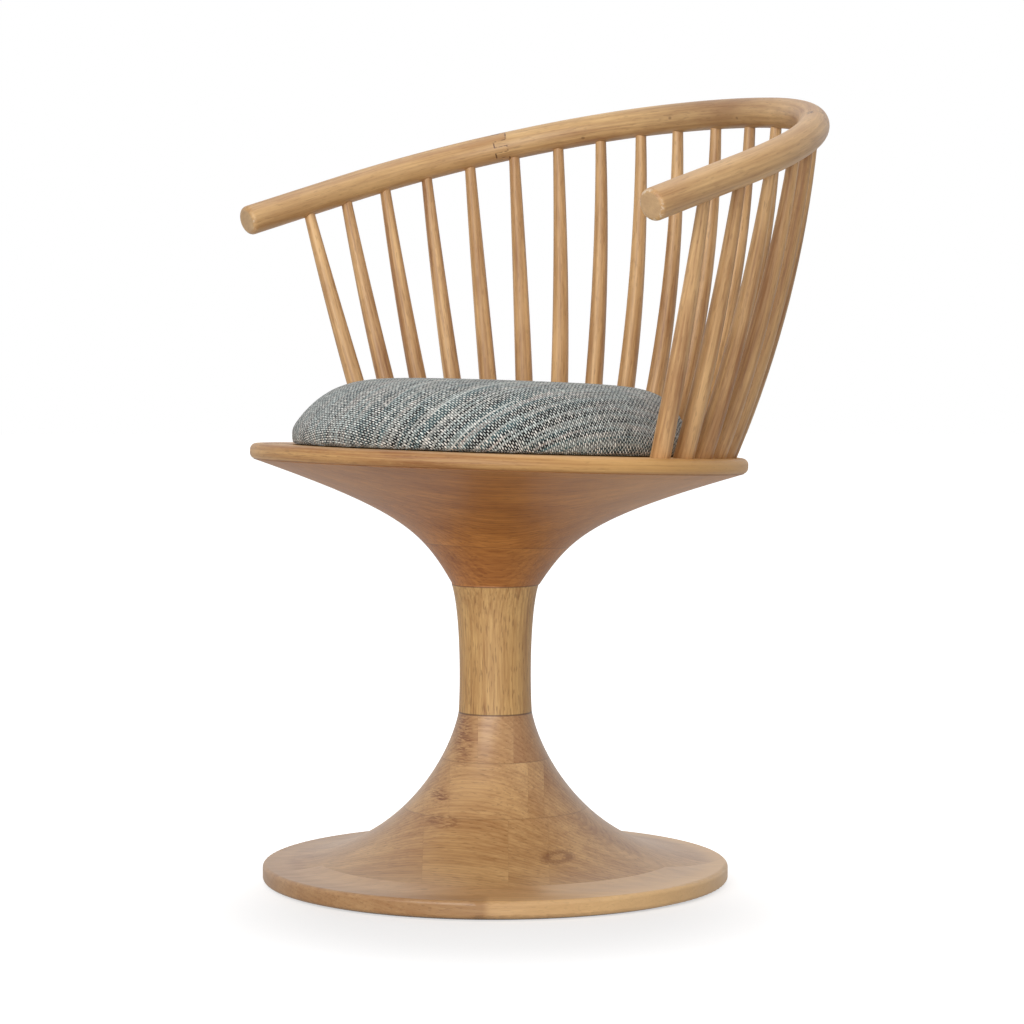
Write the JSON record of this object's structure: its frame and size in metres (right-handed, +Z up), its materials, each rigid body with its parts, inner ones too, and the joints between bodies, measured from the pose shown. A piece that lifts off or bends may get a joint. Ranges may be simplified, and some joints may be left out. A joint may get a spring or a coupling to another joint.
{
  "type": "pedestal dining chair",
  "caption": "Round wooden dining chair on a turned bell-shaped pedestal, with bowed spindles carrying a sloping bent rail round a seat with a woven cushion",
  "frame": {"origin": "on the floor, on the axis of the turned base and column, at the underside of the felt", "axes": "+Z up along the column, -Y towards the open front where the sitter's legs go, +Y towards the middle of the back, +X to the sitter's left"},
  "size_m": [0.6444, 0.5376, 0.7632],
  "materials": {
    "base_wood": "satin lacquered, warm brown, turned, glued layers",
    "column_wood": "satin lacquered, honey brown, upright grain",
    "seat_wood": "satin lacquered, warm brown, turned, glued layers",
    "seat_board_wood": "satin lacquered, lighter rim",
    "spindle_wood": "satin lacquered, straight grain",
    "rail_wood": "satin lacquered, long grain, worn pale arm ends",
    "woven_cover": "slubby tweed of teal, grey, cream and near-black yarns",
    "foam": "soft open-cell foam, hidden",
    "plywood": "raw plywood, hidden",
    "grip_tape": "hook-and-loop tape, hidden",
    "felt": "dense wool felt",
    "zinc_steel": "zinc-plated"
  },
  "bodies": {
    "root": {"base_felt": "felt", "base_disc": "base_wood", "base_layer_lower": "base_wood", "base_layer_middle": "base_wood", "base_layer_upper": "base_wood", "column": "column_wood", "seat_layer_lower": "seat_wood", "seat_layer_middle": "seat_wood", "seat_layer_upper": "seat_wood", "seat_board": "seat_board_wood", "spindle_01": "spindle_wood", "spindle_02": "spindle_wood", "spindle_03": "spindle_wood", "spindle_04": "spindle_wood", "spindle_05": "spindle_wood", "spindle_06": "spindle_wood", "spindle_07": "spindle_wood", "spindle_08": "spindle_wood", "spindle_09": "spindle_wood", "spindle_10": "spindle_wood", "spindle_11": "spindle_wood", "spindle_12": "spindle_wood", "spindle_13": "spindle_wood", "spindle_14": "spindle_wood", "spindle_15": "spindle_wood", "spindle_16": "spindle_wood", "spindle_17": "spindle_wood", "spindle_18": "spindle_wood", "spindle_19": "spindle_wood", "spindle_20": "spindle_wood", "spindle_21": "spindle_wood", "crest_rail": "rail_wood", "arm_left": "rail_wood", "arm_right": "rail_wood", "cushion": "woven_cover", "cushion_foam": "foam", "cushion_board": "plywood", "grip_discs": "grip_tape", "tie_rod": "zinc_steel", "rod_washers": "zinc_steel", "rod_nuts": "zinc_steel"}
  },
  "joints": []
}
